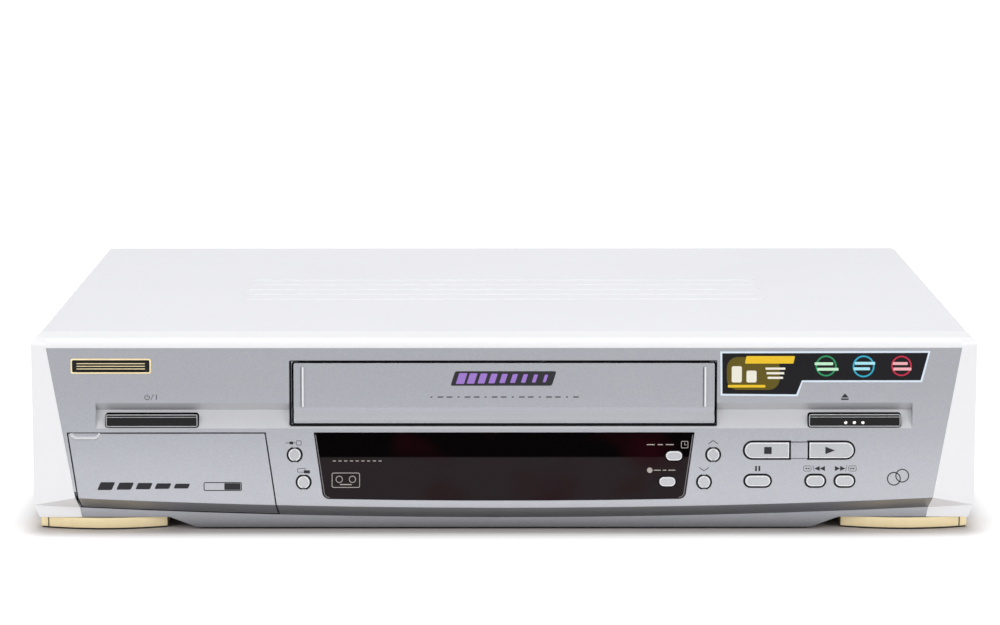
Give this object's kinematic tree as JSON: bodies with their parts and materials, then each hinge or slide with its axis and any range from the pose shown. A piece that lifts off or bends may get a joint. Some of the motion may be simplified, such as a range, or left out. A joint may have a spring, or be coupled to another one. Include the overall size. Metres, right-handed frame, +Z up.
{
  "type": "video cassette recorder",
  "caption": "Low rectangular home video cassette recorder with an inward-swinging tape door, dark display window, front buttons, drop-down jack flap and full tape mechanism.",
  "frame": {"origin": "middle of the footprint, on the table under the feet", "axes": "+X to the viewer's right, +Y to the back, +Z up; the buttons and the tape door face -Y"},
  "size_m": [0.43, 0.3082, 0.089],
  "materials": {
    "white_plastic": "fine satin moulded plastic",
    "silver_plastic": "silver paint with a fine metallic grain",
    "smoked_lens": "dark smoked clear plastic, glossy",
    "display_glass": "grey-green glass",
    "circuit_board": "phenolic board with solder resist",
    "black_plastic": "moulded black plastic",
    "dark_bar": "dark glossy translucent plastic",
    "dark_plastic": "satin black plastic",
    "nickel": "nickel-plated brass and plastic",
    "white_paint": "powder-coated steel, lightly textured",
    "rear_paint": "plain painted steel",
    "screw_steel": "zinc-plated steel",
    "gold_trim": "pale satin gold",
    "foot_rubber": "black rubber",
    "component_black": "moulded components",
    "transformer_iron": "varnished laminations",
    "aluminium": "plain extruded aluminium",
    "tin_plate": "tin-plated steel",
    "zinc_steel": "zinc-plated sheet steel",
    "drum_aluminium": "diamond-turned aluminium",
    "brass": "sintered bronze",
    "flywheel_steel": "machined steel",
    "gear_plastic": "natural acetal plastic"
  },
  "bodies": {
    "cabinet": {"front_panel": "white_plastic", "front_fascia": "silver_plastic", "display_lens": "smoked_lens", "display_tube": "display_glass", "control_boards": "circuit_board", "tact_switches": "black_plastic", "jack_panel": "dark_plastic", "front_jacks": "nickel", "base_frame": "black_plastic", "top_cover": "white_paint", "rear_panel": "rear_paint", "screws": "screw_steel", "front_feet": "dark_plastic", "foot_bands": "gold_trim", "foot_pads": "foot_rubber", "circuit_boards": "circuit_board", "board_parts": "component_black", "power_transformer": "transformer_iron", "heat_sink": "aluminium", "tuner_box": "tin_plate", "scart_sockets": "black_plastic", "rca_jacks": "nickel", "mains_inlet": "black_plastic", "deck_plate": "zinc_steel", "drum_base": "drum_aluminium", "shaft_bearings": "brass", "drive_belt": "foot_rubber", "tape_heads": "flywheel_steel", "loading_motor": "zinc_steel", "loader_brackets": "zinc_steel"},
    "power_button": {"power_button": "dark_bar"},
    "eject_button": {"eject_button": "dark_bar"},
    "stop_button": {"stop_button": "silver_plastic"},
    "play_button": {"play_button": "silver_plastic"},
    "pause_button": {"pause_button": "silver_plastic"},
    "rewind_button": {"rewind_button": "silver_plastic"},
    "fast_forward_button": {"fast_forward_button": "silver_plastic"},
    "channel_up_button": {"channel_up_button": "silver_plastic"},
    "channel_down_button": {"channel_down_button": "silver_plastic"},
    "link_button": {"link_button": "silver_plastic"},
    "format_button": {"format_button": "silver_plastic"},
    "timer_button": {"timer_button": "silver_plastic"},
    "record_button": {"record_button": "silver_plastic"},
    "cassette_door": {"cassette_door": "silver_plastic"},
    "jack_flap": {"jack_flap": "silver_plastic"},
    "upper_drum": {"drum_cylinder": "drum_aluminium"},
    "capstan": {"capstan": "flywheel_steel"},
    "clutch": {"clutch_pulley": "gear_plastic"},
    "supply_reel": {"supply_reel_table": "gear_plastic"},
    "take_up_reel": {"take_up_reel_table": "gear_plastic"},
    "supply_guide": {"supply_guide": "zinc_steel"},
    "take_up_guide": {"take_up_guide": "zinc_steel"},
    "pinch_arm": {"pinch_arm": "zinc_steel"},
    "pinch_roller": {"pinch_roller": "foot_rubber"},
    "tension_arm": {"tension_arm": "zinc_steel"},
    "cam": {"cam_gear": "gear_plastic"},
    "worm": {"loading_worm": "gear_plastic"},
    "slide": {"loader_slide": "zinc_steel"},
    "carriage": {"cassette_carriage": "zinc_steel", "cassette_springs": "zinc_steel"}
  },
  "joints": [
    {"name": "power_button_press", "type": "slide", "parent": "cabinet", "child": "power_button", "axis": [0, 0.9974, -0.0717], "range_m": [0, 0.0008], "stiffness_N_per_m": 400, "springref_m": -0.0006},
    {"name": "eject_button_press", "type": "slide", "parent": "cabinet", "child": "eject_button", "axis": [0, 0.9974, -0.0717], "range_m": [0, 0.0008], "stiffness_N_per_m": 400, "springref_m": -0.0006},
    {"name": "stop_button_press", "type": "slide", "parent": "cabinet", "child": "stop_button", "axis": [0, 0.9974, -0.0717], "range_m": [0, 0.0008], "stiffness_N_per_m": 400, "springref_m": -0.0006},
    {"name": "play_button_press", "type": "slide", "parent": "cabinet", "child": "play_button", "axis": [0, 0.9974, -0.0717], "range_m": [0, 0.0008], "stiffness_N_per_m": 400, "springref_m": -0.0006},
    {"name": "pause_button_press", "type": "slide", "parent": "cabinet", "child": "pause_button", "axis": [0, 0.9974, -0.0717], "range_m": [0, 0.0008], "stiffness_N_per_m": 400, "springref_m": -0.0006},
    {"name": "rewind_button_press", "type": "slide", "parent": "cabinet", "child": "rewind_button", "axis": [0, 0.9974, -0.0717], "range_m": [0, 0.0008], "stiffness_N_per_m": 400, "springref_m": -0.0006},
    {"name": "fast_forward_button_press", "type": "slide", "parent": "cabinet", "child": "fast_forward_button", "axis": [0, 0.9974, -0.0717], "range_m": [0, 0.0008], "stiffness_N_per_m": 400, "springref_m": -0.0006},
    {"name": "channel_up_button_press", "type": "slide", "parent": "cabinet", "child": "channel_up_button", "axis": [0, 0.9974, -0.0717], "range_m": [0, 0.0008], "stiffness_N_per_m": 400, "springref_m": -0.0006},
    {"name": "channel_down_button_press", "type": "slide", "parent": "cabinet", "child": "channel_down_button", "axis": [0, 0.9974, -0.0717], "range_m": [0, 0.0008], "stiffness_N_per_m": 400, "springref_m": -0.0006},
    {"name": "link_button_press", "type": "slide", "parent": "cabinet", "child": "link_button", "axis": [0, 0.9974, -0.0717], "range_m": [0, 0.0008], "stiffness_N_per_m": 400, "springref_m": -0.0006},
    {"name": "format_button_press", "type": "slide", "parent": "cabinet", "child": "format_button", "axis": [0, 0.9974, -0.0717], "range_m": [0, 0.0008], "stiffness_N_per_m": 400, "springref_m": -0.0006},
    {"name": "timer_button_press", "type": "slide", "parent": "cabinet", "child": "timer_button", "axis": [0, 0.9974, -0.0717], "range_m": [0, 0.0008], "stiffness_N_per_m": 400, "springref_m": -0.0006},
    {"name": "record_button_press", "type": "slide", "parent": "cabinet", "child": "record_button", "axis": [0, 0.9974, -0.0717], "range_m": [0, 0.0008], "stiffness_N_per_m": 400, "springref_m": -0.0006},
    {"name": "door_swing", "type": "hinge", "parent": "cabinet", "child": "cassette_door", "pos_m": [0, -0.14472, 0.08071], "axis": [1, 0, 0], "range_deg": [0, 94], "stiffness_Nm_per_rad": 0.01, "springref_deg": -22.92},
    {"name": "flap_swing", "type": "hinge", "parent": "cabinet", "child": "jack_flap", "pos_m": [0, -0.14905, 0.019], "axis": [1, 0, 0], "range_deg": [0, 95]},
    {"name": "drum_spin", "type": "hinge", "parent": "cabinet", "child": "upper_drum", "pos_m": [0, 0.09045, 0.026], "axis": [-0.0435, -0.0871, 0.9953], "continuous": true},
    {"name": "capstan_spin", "type": "hinge", "parent": "cabinet", "child": "capstan", "pos_m": [0.058, 0.05845, 0.02], "axis": [0, 0, 1], "continuous": true},
    {"name": "clutch_spin", "type": "hinge", "parent": "cabinet", "child": "clutch", "pos_m": [0, -0.02755, 0.02], "axis": [0, 0, 1], "continuous": true},
    {"name": "supply_reel_spin", "type": "hinge", "parent": "cabinet", "child": "supply_reel", "pos_m": [-0.04625, -0.00455, 0.03], "axis": [0, 0, 1], "continuous": true},
    {"name": "take_up_reel_spin", "type": "hinge", "parent": "cabinet", "child": "take_up_reel", "pos_m": [0.04625, -0.00455, 0.03], "axis": [0, 0, 1], "continuous": true},
    {"name": "cam_turn", "type": "hinge", "parent": "cabinet", "child": "cam", "pos_m": [-0.052, 0.07645, 0.014], "axis": [0, 0, 1], "range_deg": [0, 150]},
    {"name": "worm_turn", "type": "hinge", "parent": "cabinet", "child": "worm", "pos_m": [-0.0783, 0.07645, 0.0148], "axis": [0, 1, 0], "range_deg": [0, 7200]},
    {"name": "supply_guide_run", "type": "slide", "parent": "cabinet", "child": "supply_guide", "axis": [-0.0879, 0.9961, 0], "range_m": [0, 0.06826]},
    {"name": "take_up_guide_run", "type": "slide", "parent": "cabinet", "child": "take_up_guide", "axis": [0.0879, 0.9961, 0], "range_m": [0, 0.06826]},
    {"name": "pinch_swing", "type": "hinge", "parent": "cabinet", "child": "pinch_arm", "pos_m": [0.084, 0.06845, 0.025], "axis": [0, 0, 1], "range_deg": [0, 48]},
    {"name": "roller_spin", "type": "hinge", "parent": "pinch_arm", "child": "pinch_roller", "pos_m": [0.06799, 0.08188, 0.034], "axis": [0, 0, 1], "continuous": true},
    {"name": "tension_swing", "type": "hinge", "parent": "cabinet", "child": "tension_arm", "pos_m": [-0.076, 0.07645, 0.025], "axis": [0, 0, 1], "range_deg": [-20, 0]},
    {"name": "loader_run", "type": "slide", "parent": "cabinet", "child": "slide", "axis": [0, -1, 0], "range_m": [0, 0.062]},
    {"name": "carriage_drop", "type": "slide", "parent": "slide", "child": "carriage", "axis": [0, 0, 1], "range_m": [-0.021, 0]}
  ],
  "couplings": [
    {"joint": "clutch_spin", "follows": "capstan_spin", "ratio": 0.66667},
    {"joint": "worm_turn", "follows": "cam_turn", "ratio": 48},
    {"joint": "supply_guide_run", "follows": "cam_turn", "m_per_rad": 0.026075},
    {"joint": "take_up_guide_run", "follows": "cam_turn", "m_per_rad": 0.026075},
    {"joint": "pinch_swing", "follows": "cam_turn", "ratio": 0.32},
    {"joint": "tension_swing", "follows": "cam_turn", "ratio": -0.13333}
  ]
}
